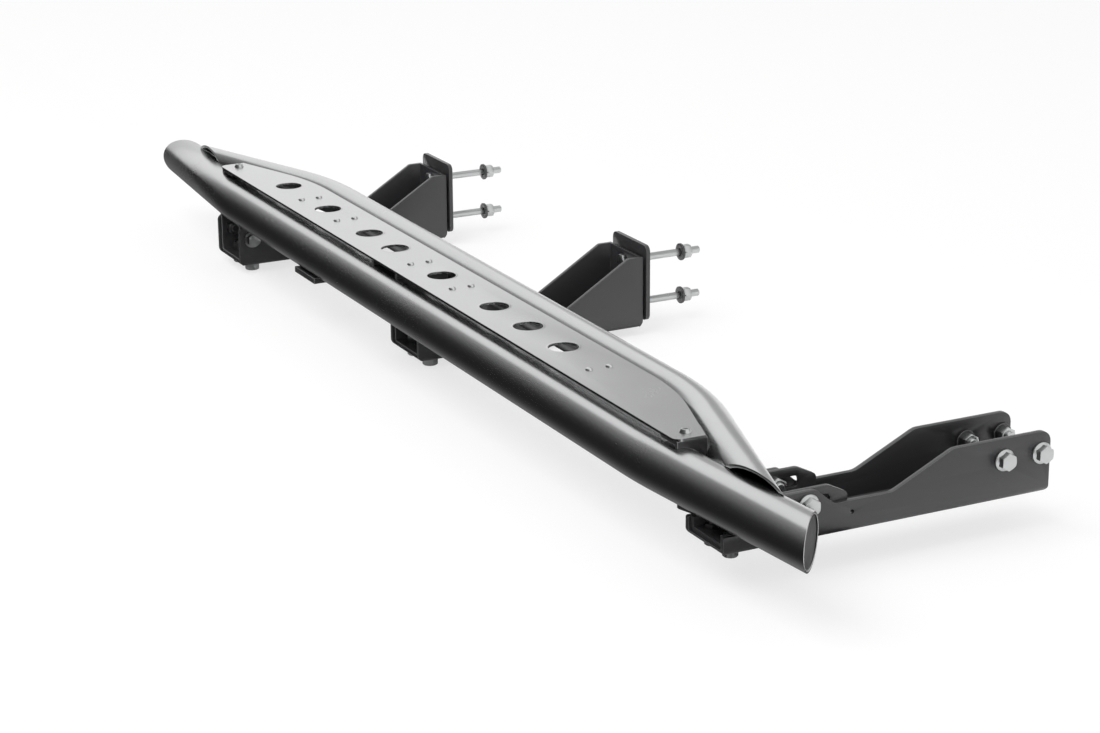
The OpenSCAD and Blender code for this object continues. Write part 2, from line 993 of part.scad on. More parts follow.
module right_chassis_washers() {
  color(BLACK)
    for (i = [0, 1])
      on_right_walls(right_inner_w / 2, right_bolt_y - i * right_bolt_pitch, right_bolt_z)
        washer(right_bolt_d, 2 * right_bolt_d, washer_t);
}

module right_chassis_nuts() {
  color(ZINC)
    for (i = [0, 1])
      on_right_walls(right_inner_w / 2 - washer_t, right_bolt_y - i * right_bolt_pitch,
        right_bolt_z)
        hex_nut(right_bolt_d, flange_nut_h * right_bolt_d, flange_nut_af * right_bolt_d);
}

module right_slot_bolts() {
  stack = right_arm_t + fit + ear_t;
  color(ZINC)
    on_right_walls(right_arm_w / 2, slot_bolt_y, slot_bolt_z)
      flange_bolt(right_bolt_d, stack + 1.1 * right_bolt_d);
}

module right_slot_nuts() {
  stack = right_arm_t + fit + ear_t;
  color(ZINC)
    on_right_walls(right_arm_w / 2 - stack, slot_bolt_y, slot_bolt_z)
      hex_nut(right_bolt_d, flange_nut_h * right_bolt_d, flange_nut_af * right_bolt_d);
}

// Fasteners of each arm, and the places that they share
arm_stack = arm_t + hanger_t;
right_stack = right_arm_t + ear_t;
left_start = -left_arm_start;
middle_start = -middle_arm_start;

module left_chassis_bolts() {
  chassis_bolts(-left_arm_x, left_start);
}

module middle_chassis_bolts() {
  chassis_bolts(-middle_arm_x, middle_start);
}

module left_chassis_washers() {
  chassis_washers(-left_arm_x, left_start);
}

module middle_chassis_washers() {
  chassis_washers(-middle_arm_x, middle_start);
}

module left_spring_washers() {
  spring_washers(-left_arm_x, left_start);
}

module middle_spring_washers() {
  spring_washers(-middle_arm_x, middle_start);
}

module left_chassis_nuts() {
  chassis_nuts(-left_arm_x, left_start);
}

module middle_chassis_nuts() {
  chassis_nuts(-middle_arm_x, middle_start);
}

module left_side_bolts() {
  side_bolts(-left_arm_x, left_start);
}

module middle_side_bolts() {
  side_bolts(-middle_arm_x, middle_start);
}

module left_side_nuts() {
  side_nuts(-left_arm_x, left_start);
}

module middle_side_nuts() {
  side_nuts(-middle_arm_x, middle_start);
}

module left_clamp_bolts() {
  clamp_bolts(-left_arm_x, left_start + clamp_in, clamp_off, -arm_bottom, arm_stack,
    joint_bolt_d, flange_nut_h);
}

module middle_clamp_bolts() {
  clamp_bolts(-middle_arm_x, middle_start + clamp_in, clamp_off, -arm_bottom, arm_stack,
    joint_bolt_d, flange_nut_h);
}

module right_clamp_bolts() {
  clamp_bolts(right_arm_x, right_clamp_y, right_clamp_off, -right_arm_bottom, right_stack,
    right_clamp_d, thin_nut_h);
}

module left_clamp_nuts() {
  clamp_nuts(-left_arm_x, left_start + clamp_in, clamp_off, -arm_bottom, arm_stack,
    joint_bolt_d, flange_nut_h);
}

module middle_clamp_nuts() {
  clamp_nuts(-middle_arm_x, middle_start + clamp_in, clamp_off, -arm_bottom, arm_stack,
    joint_bolt_d, flange_nut_h);
}

module right_clamp_nuts() {
  clamp_nuts(right_arm_x, right_clamp_y, right_clamp_off, -right_arm_bottom, right_stack,
    right_clamp_d, thin_nut_h);
}

// Moves the part so that its origin is midway between the middle arm's chassis bolts, on the
// face of the backing plate that meets the vehicle
module placed() {
  translate([
    middle_arm_x,
    -(middle_start + arm_length + backing_gap + backing_t),
    chassis_bolt_top + chassis_bolt_pitch / 2
  ])
    children();
}

placed() front_tube();
placed() rear_tube();
placed() tread_plate();
placed() left_tread_tab();
placed() right_tread_tab();
placed() tread_screws();
placed() tread_nuts();
placed() left_end_cap();
placed() right_end_cap();
placed() underside_tab();
placed() left_arm();
placed() middle_arm();
placed() right_arm();
placed() left_hanger();
placed() middle_hanger();
placed() right_hanger();
placed() right_flange_plate();
placed() left_backing_plate();
placed() middle_backing_plate();
placed() left_chassis_bolts();
placed() middle_chassis_bolts();
placed() left_chassis_washers();
placed() middle_chassis_washers();
placed() left_spring_washers();
placed() middle_spring_washers();
placed() left_chassis_nuts();
placed() middle_chassis_nuts();
placed() right_chassis_bolts();
placed() right_chassis_washers();
placed() right_chassis_nuts();
placed() left_side_bolts();
placed() middle_side_bolts();
placed() left_side_nuts();
placed() middle_side_nuts();
placed() right_slot_bolts();
placed() right_slot_nuts();
placed() left_clamp_bolts();
placed() middle_clamp_bolts();
placed() right_clamp_bolts();
placed() left_clamp_nuts();
placed() middle_clamp_nuts();
placed() right_clamp_nuts();
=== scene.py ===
import math

import bmesh
import bpy
from bpy.props import FloatProperty, FloatVectorProperty, IntProperty, PointerProperty
from bpy.types import Operator, Panel, PropertyGroup
from mathutils import Matrix, Vector


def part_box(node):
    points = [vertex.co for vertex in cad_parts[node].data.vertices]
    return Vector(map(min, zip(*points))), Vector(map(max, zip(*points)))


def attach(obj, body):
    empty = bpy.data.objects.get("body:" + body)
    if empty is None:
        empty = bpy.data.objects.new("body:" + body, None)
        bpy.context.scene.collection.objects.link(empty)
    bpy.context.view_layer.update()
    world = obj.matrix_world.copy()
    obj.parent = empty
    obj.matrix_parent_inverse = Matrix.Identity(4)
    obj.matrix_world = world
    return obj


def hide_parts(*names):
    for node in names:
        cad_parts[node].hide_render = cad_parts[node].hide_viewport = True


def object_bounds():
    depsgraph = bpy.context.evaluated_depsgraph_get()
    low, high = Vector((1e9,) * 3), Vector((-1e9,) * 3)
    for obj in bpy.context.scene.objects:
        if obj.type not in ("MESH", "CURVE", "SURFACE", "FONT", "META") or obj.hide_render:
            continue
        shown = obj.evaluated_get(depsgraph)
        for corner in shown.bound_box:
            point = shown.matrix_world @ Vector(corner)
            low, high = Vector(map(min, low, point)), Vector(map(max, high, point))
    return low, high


bl_info = {
    "name": "Side step bar",
    "version": (1, 0, 0),
    "blender": (4, 5, 0),
    "location": "View3D > Sidebar > Step bar",
    "description": "Dresses a side step bar: tubes, tread plate, arms and fasteners",
    "category": "Add Mesh",
}

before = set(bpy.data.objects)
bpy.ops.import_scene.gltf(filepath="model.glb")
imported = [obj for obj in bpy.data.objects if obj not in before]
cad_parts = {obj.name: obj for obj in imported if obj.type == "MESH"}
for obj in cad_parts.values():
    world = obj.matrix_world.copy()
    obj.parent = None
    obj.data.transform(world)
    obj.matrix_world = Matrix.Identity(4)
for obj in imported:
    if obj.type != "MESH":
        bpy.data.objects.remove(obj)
CAD_LOW, CAD_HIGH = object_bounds()

MM = 0.001

# Points nearer than this are one point
TOUCH = 0.01 * MM

# Places on the tread plate, in metres from the middle of its line of drain holes
DRAIN_X = (-0.528, -0.3805, -0.234, -0.148, -0.0005, 0.1555, 0.249, 0.343)
BUMP_X = (-0.4455, -0.3165, -0.068, 0.0605, 0.433)
BUMP_Y = 0.0132
SCREW_X, SCREW_Y = 0.672, -0.022

# Steps along each bend of a tube, and sides of the plate's holes and bumps
BEND_STEPS = 16
DRAIN_SIDES = 64
SMALL_SIDES = 32

# How wide the edges of the smaller parts are rounded
WASHER_EDGE = 0.25 * MM
CAP_EDGE = 0.4 * MM
FASTENER_EDGE = 0.2 * MM

# The solids' nodes, by finish. All others are plated fasteners.
STEEL_NODES = ("front_tube", "rear_tube", "tread_plate")
BLACK_NODES = (
    "left_tread_tab", "right_tread_tab", "underside_tab", "left_arm", "middle_arm",
    "right_arm", "left_hanger", "middle_hanger", "right_hanger", "right_flange_plate",
    "left_backing_plate", "middle_backing_plate",
)
WASHER_NODES = ("left_chassis_washers", "middle_chassis_washers", "right_chassis_washers")
CAP_NODES = ("left_end_cap", "right_end_cap")

# Greys of the cards that the steel mirrors: on the floor by y from the front tube's
# axis, in front of the step by height over the tubes, and behind it by x
FLOOR_GREYS = ((-12, 0.015), (-0.12, 0.02), (-0.07, 0.05), (-0.035, 0.10), (0, 0.20),
               (0.035, 0.24), (0.06, 0.03), (0.18, 0.015))
FRONT_GREYS = ((0.30, 0.028), (0.75, 0.05), (1.2, 0.085), (1.75, 0.14), (2.6, 0.20),
               (4.1, 0.28), (7.9, 0.32))
BACK_GREYS = ((-8.2, 1.0), (-7.6, 0.95), (-7.15, 0.80), (-6.7, 0.55), (-6.2, 0.46),
              (3, 0.42))
# Height of the tubes over the floor, and reach of the cards along the step
TUBE_HEIGHT = 0.09
CARD_THICKNESS = 0.02
FLOOR_CARD_X = (-14, 8)
FRONT_CARD_X = (-18, 6)
FRONT_CARD_Y, FRONT_CARD_HEIGHT = -2.4, 8
BACK_CARD_X = (-11, 3)
BACK_CARD_Y, BACK_CARD_LOW, BACK_CARD_HIGH = 3.5, 0.9, 4.6

# The floor and the card on it, half a millimetre under and over the lowest point
FLOOR_GAP = 0.5 * MM

# Width of the sensor that the lens is given for, in millimetres
SENSOR = 36.0


class StepBarSizes(PropertyGroup):
    """Sizes of the tubes and the tread plate"""

    front_diameter: FloatProperty(
        name="Front tube", description="Outer diameter of the front tube",
        default=0.0603, unit="LENGTH")
    rear_diameter: FloatProperty(
        name="Rear tube", description="Outer diameter of the rear tube", default=0.0483,
        unit="LENGTH")
    wall: FloatProperty(
        name="Wall", description="Wall of both tubes", default=0.003, unit="LENGTH")
    front_axis: FloatProperty(
        name="Front axis", description="From the line of holes to the front tube's axis",
        default=0.0416, unit="LENGTH")
    rear_axis: FloatProperty(
        name="Rear axis", description="From the line of holes to the rear tube's axis",
        default=0.068, unit="LENGTH")
    front_bend_x: FloatProperty(
        name="Front bend", description="From the middle to the front tube's bend",
        default=0.626, unit="LENGTH")
    rear_bend_x: FloatProperty(
        name="Rear bend", description="From the middle to the rear tube's bend",
        default=0.548, unit="LENGTH")
    front_bend_angle: FloatProperty(
        name="Front bend angle", description="Angle of the front tube's bend",
        default=math.radians(4.7), subtype="ANGLE", unit="ROTATION")
    rear_bend_angle: FloatProperty(
        name="Rear bend angle", description="Angle of the rear tube's bend",
        default=math.radians(18.3), subtype="ANGLE", unit="ROTATION")
    front_bend_radius: FloatProperty(
        name="Front bend radius", description="Centreline radius of the front bend",
        default=0.7, unit="LENGTH")
    rear_bend_radius: FloatProperty(
        name="Rear bend radius", description="Centreline radius of the rear bend",
        default=0.4, unit="LENGTH")
    front_end_x: FloatProperty(
        name="Front end", description="From the middle to the front tube's ends",
        default=0.92, unit="LENGTH")
    mitre: FloatProperty(
        name="Mitre", description="Angle of the front tube's cut ends",
        default=math.radians(47), subtype="ANGLE", unit="ROTATION")
    saddle_gap: FloatProperty(
        name="Saddle gap", description="Between the rear tube's ends and the front tube",
        default=0.0002, unit="LENGTH")
    rear_lap: FloatProperty(
        name="Rear lap", default=0.008, unit="LENGTH",
        description="Nearest that the rear tube's ends come to the front axis, in plan")
    tread_thickness: FloatProperty(
        name="Tread", description="Thickness of the tread plate", default=0.003,
        unit="LENGTH")
    tread_front: FloatProperty(
        name="Tread front", default=0.045, unit="LENGTH",
        description="From the line of holes to the plate's front edge")
    tread_corner: FloatProperty(
        name="Tread corners", description="Radius of the plate's front corners",
        default=0.010, unit="LENGTH")
    tread_gap: FloatProperty(
        name="Tread gap", description="Between the plate and the rear tube",
        default=0.0028, unit="LENGTH")
    tread_slit: FloatProperty(
        name="Tread slit", description="Between the plate and the front tube",
        default=0.0083, unit="LENGTH")
    drain_diameter: FloatProperty(
        name="Drain holes", description="Diameter of the drain holes", default=0.037,
        unit="LENGTH")
    cad_press: FloatProperty(
        name="Solid's pressing", description="Height of the pressings in the solid",
        default=0.0012, unit="LENGTH")
    rim_height: FloatProperty(
        name="Rims", description="Height of the drain holes' pressed rims",
        default=0.0003, unit="LENGTH")
    bump_height: FloatProperty(
        name="Bump height", description="Height of the pressed bumps",
        default=0.0026, unit="LENGTH")
    bump_diameter: FloatProperty(
        name="Bumps", description="Diameter of the pressed bumps", default=0.0098,
        unit="LENGTH")
    screw_hole: FloatProperty(
        name="Screw holes", description="Diameter of the tread plate's screw holes",
        default=0.009, unit="LENGTH")
    edge: FloatProperty(
        name="Edge", description="Rounding of the sheet edges", default=0.0005,
        unit="LENGTH")
    segments: IntProperty(
        name="Tube sides", description="Sides of a tube's section", default=96)


class StepBarFinish(PropertyGroup):
    """Colours and finishes"""

    steel: FloatVectorProperty(
        name="Steel", description="Colour of the satin steel", subtype="COLOR", size=3,
        default=(0.62, 0.623, 0.627), min=0, max=1)
    steel_roughness: FloatProperty(
        name="Steel roughness", description="Roughness of the satin steel", default=0.25)
    black: FloatVectorProperty(
        name="Black", description="Colour of the powder coat", subtype="COLOR", size=3,
        default=(0.029, 0.029, 0.031), min=0, max=1)
    # Painted highlight: the rounded edges of the coated parts get this lighter grey,
    # standing in for the light that they catch
    painted_edge_highlight: FloatVectorProperty(
        name="Painted edge highlight", description="Colour of the coat along the edges",
        subtype="COLOR", size=3, default=(0.19, 0.19, 0.195), min=0, max=1)
    zinc: FloatVectorProperty(
        name="Zinc", description="Colour of the plated fasteners", subtype="COLOR",
        size=3, default=(0.56, 0.57, 0.57), min=0, max=1)
    plastic: FloatVectorProperty(
        name="Plastic", description="Colour of the end caps", subtype="COLOR", size=3,
        default=(0.045, 0.045, 0.047), min=0, max=1)


class StepBarStage(PropertyGroup):
    """Camera and light"""

    lens: FloatProperty(
        name="Lens", description="Focal length in millimetres", default=89.66)
    azimuth: FloatProperty(
        name="Azimuth", description="Direction that the camera looks from",
        default=math.radians(63.098), subtype="ANGLE", unit="ROTATION")
    elevation: FloatProperty(
        name="Elevation", description="Height that the camera looks from",
        default=math.radians(18.152), subtype="ANGLE", unit="ROTATION")
    roll: FloatProperty(
        name="Roll", description="Turn of the picture", default=math.radians(-0.402),
        subtype="ANGLE", unit="ROTATION")
    place: FloatVectorProperty(
        name="Camera", description="Camera's place from the tread plate's middle",
        size=3, default=(3.0908, -1.4125, 0.9887), subtype="XYZ", unit="LENGTH")
    floor_size: FloatProperty(
        name="Floor", description="Width of the floor", default=60.0, unit="LENGTH")
    floor_white: FloatProperty(
        name="White floor", default=0.7,
        description="Share of plain white that the camera sees in the floor")
    sky: FloatProperty(
        name="Sky", description="Strength of the light from all round", default=0.72)
    key_power: FloatProperty(
        name="Key light", description="Power of the soft lamp over the step",
        default=120.0, unit="POWER")
    key_place: FloatVectorProperty(
        name="Key place", description="Where the soft lamp hangs", size=3,
        default=(0.5, -2.5, 4.0), subtype="XYZ", unit="LENGTH")


def sizes():
    return bpy.context.scene.step_bar_sizes


def finish():
    return bpy.context.scene.step_bar_finish


def tread_origin():
    """The middle of the line of drain holes, on the tread plate's upper face."""
    s = sizes()
    low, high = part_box("tread_plate")
    return Vector(((low.x + high.x) / 2, low.y + s.tread_front, high.z - s.cad_press))


# Shared shader effects


def new_group(name, inputs, outputs):
    """A shader node group with named sockets, each (name, type, default)."""
    group = bpy.data.node_groups.new(name, "ShaderNodeTree")
    for socket, kind, default in inputs:
        made = group.interface.new_socket(name=socket, in_out="INPUT", socket_type=kind)
        made.default_value = default
    for socket, kind in outputs:
        group.interface.new_socket(name=socket, in_out="OUTPUT", socket_type=kind)
    start = group.nodes.new("NodeGroupInput")
    end = group.nodes.new("NodeGroupOutput")
    return group, start, end


def surface_grain_group():
    """Fine grain: a height for bump, and a roughness that varies about a middle value."""
    group = bpy.data.node_groups.get("surface_grain")
    if group:
        return group
    group, start, end = new_group(
        "surface_grain",
        [("Stretch", "NodeSocketVector", (1, 1, 1)),
         ("Scale", "NodeSocketFloat", 400.0),
         ("Roughness", "NodeSocketFloat", 0.4),
         ("Spread", "NodeSocketFloat", 0.1)],
        [("Height", "NodeSocketFloat"), ("Roughness", "NodeSocketFloat")],
    )
    nodes, links = group.nodes, group.links
    place = nodes.new("ShaderNodeTexCoord")
    stretch = nodes.new("ShaderNodeVectorMath")
    stretch.operation = "MULTIPLY"
    grain = nodes.new("ShaderNodeTexNoise")
    grain.inputs["Detail"].default_value = 4
    cloud = nodes.new("ShaderNodeTexNoise")
    cloud.inputs["Scale"].default_value = 14
    spread = nodes.new("ShaderNodeMath")
    spread.operation = "MULTIPLY_ADD"
    mix = nodes.new("ShaderNodeMath")
    mix.operation = "ADD"
    centre = nodes.new("ShaderNodeMath")
    centre.operation = "SUBTRACT"
    centre.inputs[1].default_value = 1.0
    links.new(place.outputs["Object"], stretch.inputs[0])
    links.new(start.outputs["Stretch"], stretch.inputs[1])
    links.new(stretch.outputs[0], grain.inputs["Vector"])
    links.new(start.outputs["Scale"], grain.inputs["Scale"])
    links.new(place.outputs["Object"], cloud.inputs["Vector"])
    links.new(grain.outputs["Fac"], mix.inputs[0])
    links.new(cloud.outputs["Fac"], mix.inputs[1])
    links.new(mix.outputs[0], centre.inputs[0])
    links.new(centre.outputs[0], spread.inputs[0])
    links.new(start.outputs["Spread"], spread.inputs[1])
    links.new(start.outputs["Roughness"], spread.inputs[2])
    links.new(grain.outputs["Fac"], end.inputs["Height"])
    links.new(spread.outputs[0], end.inputs["Roughness"])
    return group


def finished_material(name, colour, metallic, roughness, spread, scale, depth,
                      stretch=(1, 1, 1), coat=0.0):
    """A material whose grain comes from the shared group, made once for each name."""
    material = bpy.data.materials.get(name)
    if material:
        return material
    material = bpy.data.materials.new(name)
    material.use_nodes = True
    nodes, links = material.node_tree.nodes, material.node_tree.links
    shader = nodes["Principled BSDF"]
    shader.inputs["Base Color"].default_value = (*colour, 1)
    shader.inputs["Metallic"].default_value = metallic
    shader.inputs["Coat Weight"].default_value = coat
    shader.inputs["Coat Roughness"].default_value = 0.25
    grain = nodes.new("ShaderNodeGroup")
    grain.node_tree = surface_grain_group()
    grain.inputs["Stretch"].default_value = stretch
    grain.inputs["Scale"].default_value = scale
    grain.inputs["Roughness"].default_value = roughness
    grain.inputs["Spread"].default_value = spread
    bump = nodes.new("ShaderNodeBump")
    bump.inputs["Distance"].default_value = depth
    bump.inputs["Strength"].default_value = 0.5
    links.new(grain.outputs["Roughness"], shader.inputs["Roughness"])
    links.new(grain.outputs["Height"], bump.inputs["Height"])
    links.new(bump.outputs["Normal"], shader.inputs["Normal"])
    return material


def satin_steel():
    """Steel brushed along the step"""
    return finished_material(
        "tube_steel", finish().steel, metallic=1.0, roughness=finish().steel_roughness,
        spread=0.08, scale=60, depth=0.008 * MM, stretch=(1, 14, 14))


def powder_coat():
    return finished_material(
        "powder_coat", finish().black, metallic=0.0, roughness=0.34, spread=0.06,
        scale=900, depth=0.03 * MM, coat=0.45)


def painted_edge_highlight():
    """Painted highlight: a lighter grey on the rounded edges of the plates, standing in
    for the light that the edges catch
    """
    return finished_material(
        "painted_edge_highlight", finish().painted_edge_highlight, metallic=0.0, roughness=0.3, spread=0.12,
        scale=500, depth=0.03 * MM, coat=0.4)


def zinc_plate():
    return finished_material(
        "zinc_plate", finish().zinc, metallic=1.0, roughness=0.3, spread=0.08, scale=500,
        depth=0.01 * MM)


def moulded_plastic():
    return finished_material(
        "moulded_plastic", finish().plastic, metallic=0.0, roughness=0.55, spread=0.06,
        scale=1200, depth=0.05 * MM)


# Mesh helpers


def mesh_object(bm, name, *materials):
    """Turns a bmesh into an object of the scene, at the origin."""
    mesh = bpy.data.meshes.new(name)
    bm.to_mesh(mesh)
    bm.free()
    for material in materials:
        mesh.materials.append(material)
    made = bpy.data.objects.new(name, mesh)
    bpy.context.scene.collection.objects.link(made)
    return made


def add_piece(bm, name, slot, node, *materials, smooth=35):
    """Turns a bmesh into a piece on the root body that stands for a CAD node.

    A second material is for the rounded edges. Edges sharper than smooth, in degrees,
    are shaded sharp.
    """
    if not bm.faces:
        raise RuntimeError(name + " has no faces")
    piece = mesh_object(bm, name, *materials)
    piece.data.shade_smooth()
    piece.data.set_sharp_from_angle(angle=math.radians(smooth))
    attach(piece, "root")
    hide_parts(node)


def new_verts(made):
    """The vertices that an operator made."""
    return [v for v in made if isinstance(v, bmesh.types.BMVert)]


def smoothstep(t):
    return t * t * (3 - 2 * t)


def sharp_edges(bm, angle):
    return [e for e in bm.edges
            if len(e.link_faces) == 2 and e.calc_face_angle(0) > math.radians(angle)]


def bevel_edges(bm, edges, width):
    return bmesh.ops.bevel(bm, geom=edges, offset=width, offset_type="OFFSET",
                           affect="EDGES", segments=2, profile=0.5, material=-1,
                           clamp_overlap=True)["faces"]


def rounded_copy(node, width):
    """A bmesh of a CAD node with its triangles merged into faces and its edges rounded.

    The faces of the rounded edges have the second material.
    """
    bm = bmesh.new()
    bm.from_mesh(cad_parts[node].data)
    bmesh.ops.remove_doubles(bm, verts=bm.verts, dist=0.002 * MM)
    bmesh.ops.dissolve_limit(bm, angle_limit=math.radians(0.5), verts=bm.verts,
                             edges=bm.edges, use_dissolve_boundaries=False)
    # The rounded edges get the second material; on the coated parts that is a painted edge
    # highlight
    for face in bevel_edges(bm, sharp_edges(bm, 30), width):
        face.material_index = 1
    bmesh.ops.triangulate(bm, faces=[f for f in bm.faces if len(f.verts) > 4])
    return bm


def ring_verts(ring):
    return list({v for e in ring for v in e.verts})


def sweep(bm, ring, moves):
    """Extrudes a ring of edges by each matrix in turn, and returns the last ring."""
    for move in moves:
        made = bmesh.ops.extrude_edge_only(bm, edges=ring)["geom"]
        verts = new_verts(made)
        ring = [e for e in made if isinstance(e, bmesh.types.BMEdge)
                and all(v in verts for v in e.verts)]
        bmesh.ops.transform(bm, matrix=move, verts=verts)
    return ring


def turn_about(centre, angle):
    return (Matrix.Translation(centre) @ Matrix.Rotation(angle, 4, "Z")
            @ Matrix.Translation(-centre))


# The course of a tube's right half is four numbers: its straight length from x = 0, the
# radius and the angle of its bend, and the straight length behind the bend. A positive
# angle bends the tube towards +Y.


def bend_start(bend_x, bend_radius, angle):
    """Where a bend begins whose two straight lengths would meet at bend_x."""
    return bend_x - bend_radius * math.tan(angle / 2)


def bend_centre(course):
    straight, bend_radius, turn, _ = course
    return Vector((straight, math.copysign(bend_radius, turn), 0))


def tube_end(course):
    """The middle of a bent tube's end, and the ways along and across the tube there."""
    straight, _, turn, tail = course
    along = Vector((math.cos(turn), math.sin(turn), 0))
    across = Vector((-math.sin(turn), math.cos(turn), 0))
    bend_end = turn_about(bend_centre(course), turn) @ Vector((straight, 0, 0))
    return bend_end + along * tail, along, across


def trim_ring(verts, course, trim, scale=1.0):
    """Puts a ring on a tube's trimmed end, drawn in towards the axis by the scale.

    The trim gives how far each point moves along the tube, from its place across the
    tube and its height.
    """
    end, along, across = tube_end(course)
    for vert in verts:
        side = (vert.co - end).dot(across) * scale
        height = vert.co.z * scale
        vert.co = end + across * side + along * trim(side, height)
        vert.co.z = height


def half_skin(bm, radius, course, trim):
    """Sweeps one skin of a tube's right half from x = 0 and returns its end ring."""
    made = bmesh.ops.create_circle(bm, segments=sizes().segments, radius=radius,
                                   matrix=Matrix.Rotation(math.radians(90), 4, "Y"))
    for vert in made["verts"]:
        vert.co.x = 0
    straight, _, turn, tail = course
    along = tube_end(course)[1]
    moves = [Matrix.Translation((straight, 0, 0))]
    moves += [turn_about(bend_centre(course), turn / BEND_STEPS)] * BEND_STEPS
    moves += [Matrix.Translation(along * tail)]
    ring = sweep(bm, list({e for v in made["verts"] for e in v.link_edges}), moves)
    trim_ring(ring_verts(ring), course, trim)
    return ring


def bent_tube(middle, radius, course, trim):
    """A tube with a bend near each end, a wall, and trimmed ends."""
    bm = bmesh.new()
    bore = radius - sizes().wall
    outer, inner = [half_skin(bm, skin, course, trim) for skin in (radius, bore)]
    rim = new_verts(bmesh.ops.extrude_edge_only(bm, edges=outer)["geom"])
    trim_ring(rim, course, trim, bore / radius)
    bmesh.ops.remove_doubles(bm, verts=rim + ring_verts(inner), dist=TOUCH)
    bmesh.ops.recalc_face_normals(bm, faces=bm.faces)
    bevel_edges(bm, sharp_edges(bm, 20), sizes().edge)
    bmesh.ops.mirror(bm, geom=bm.verts[:] + bm.edges[:] + bm.faces[:], axis="X",
                     merge_dist=TOUCH)
    bmesh.ops.recalc_face_normals(bm, faces=bm.faces)
    bmesh.ops.translate(bm, verts=bm.verts, vec=middle)
    return bm


class STEPBAR_OT_front_tube(Operator):
    """Builds the front tube with its bends and mitred ends"""

    bl_idname = "stepbar.front_tube"
    bl_label = "Front tube"

    def execute(self, context):
        s = sizes()
        radius = s.front_diameter / 2
        drop = s.tread_thickness + s.tread_slit + radius
        middle = tread_origin() + Vector((0, -s.front_axis, -drop))
        straight = bend_start(s.front_bend_x, s.front_bend_radius, s.front_bend_angle)
        bend_end = straight + s.front_bend_radius * math.sin(s.front_bend_angle)
        tail = (s.front_end_x - bend_end) / math.cos(s.front_bend_angle)
        slope = math.tan(s.mitre - s.front_bend_angle)
        course = (straight, s.front_bend_radius, s.front_bend_angle, tail)
        bm = bent_tube(middle, radius, course, lambda across, height: -across * slope)
        add_piece(bm, "front_tube_skin", "satin_steel", "front_tube", satin_steel())
        return {"FINISHED"}


class STEPBAR_OT_rear_tube(Operator):
    """Builds the rear tube with its ends coped onto the front tube"""

    bl_idname = "stepbar.rear_tube"
    bl_label = "Rear tube"

    def execute(self, context):
        s = sizes()
        radius = s.rear_diameter / 2
        front_radius = s.front_diameter / 2 + s.saddle_gap
        middle = tread_origin() + Vector((0, s.rear_axis, -radius))
        front_height = radius - s.tread_thickness - s.tread_slit - s.front_diameter / 2
        straight = bend_start(s.rear_bend_x, s.rear_bend_radius, s.rear_bend_angle)
        bend_in = s.rear_bend_radius * (1 - math.cos(s.rear_bend_angle))
        bend = Vector((straight + s.rear_bend_radius * math.sin(s.rear_bend_angle),
                       s.rear_axis - bend_in))
        front_way = Vector((-math.sin(s.front_bend_angle), math.cos(s.front_bend_angle)))
        apart = (bend - Vector((s.front_bend_x, -s.front_axis))).dot(front_way)
        meet = s.rear_bend_angle + s.front_bend_angle
        tail = (apart - front_radius) / math.sin(meet)

        def cope(across, height):
            rise = front_radius ** 2 - (height - front_height) ** 2
            side = max(s.rear_lap, math.sqrt(max(0, rise)))
            return (front_radius + across * math.cos(meet) - side) / math.sin(meet)

        course = (straight, s.rear_bend_radius, -s.rear_bend_angle, tail)
        bm = bent_tube(middle, radius, course, cope)
        add_piece(bm, "rear_tube_skin", "satin_steel", "rear_tube", satin_steel())
        return {"FINISHED"}


